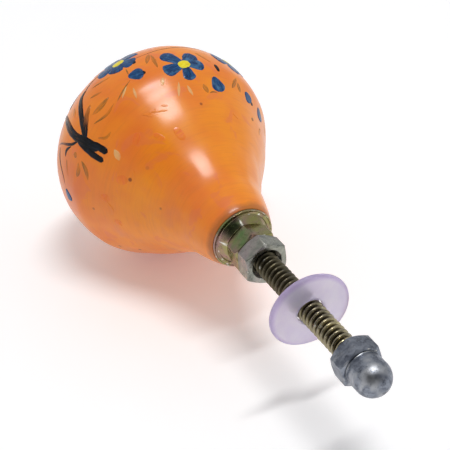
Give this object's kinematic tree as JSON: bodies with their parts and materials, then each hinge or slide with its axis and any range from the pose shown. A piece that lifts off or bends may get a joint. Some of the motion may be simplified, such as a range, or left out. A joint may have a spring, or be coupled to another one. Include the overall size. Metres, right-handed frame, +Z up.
{
  "type": "furniture knob",
  "caption": "Round painted wood knob with a threaded stud, dished washer, base nut, lock nut, plastic washer and acorn nut.",
  "frame": {"origin": "on the axis, in the face of the lock nut that rests on the drawer front", "axes": "+Y along the stud, away from the knob; the head points to -Y; +Z up"},
  "size_m": [0.0378, 0.0835, 0.0378],
  "materials": {
    "painted_wood": "glossy orange enamel with hand-painted flowers",
    "brass": "turned",
    "yellow_zinc": "yellow passivated zinc",
    "clear_zinc": "clear passivated zinc",
    "stud_steel": "dark oiled steel, rolled thread",
    "lilac_plastic": "translucent lilac",
    "grey_zinc": "dull grey zinc"
  },
  "bodies": {
    "knob": {"knob_body": "painted_wood", "threaded_insert": "brass", "cup_washer": "yellow_zinc", "base_nut": "yellow_zinc", "stud": "stud_steel", "lock_nut": "clear_zinc"},
    "back_washer": {"plastic_washer": "lilac_plastic"},
    "nut_cap": {"acorn_cap": "grey_zinc"},
    "nut": {"acorn_nut": "grey_zinc"}
  },
  "joints": [
    {"name": "washer_slide", "type": "slide", "parent": "knob", "child": "back_washer", "axis": [0, 1, 0], "range_m": [-0.011, 0.0098]},
    {"name": "acorn_travel", "type": "slide", "parent": "knob", "child": "nut_cap", "axis": [0, 1, 0], "range_m": [0, 0.006]},
    {"name": "acorn_turn", "type": "hinge", "parent": "nut_cap", "child": "nut", "pos_m": [0, 0.0254, 0], "axis": [0, 1, 0], "range_deg": [0, 2160]}
  ],
  "couplings": [
    {"joint": "acorn_turn", "follows": "acorn_travel", "rad_per_m": 6283.2}
  ]
}
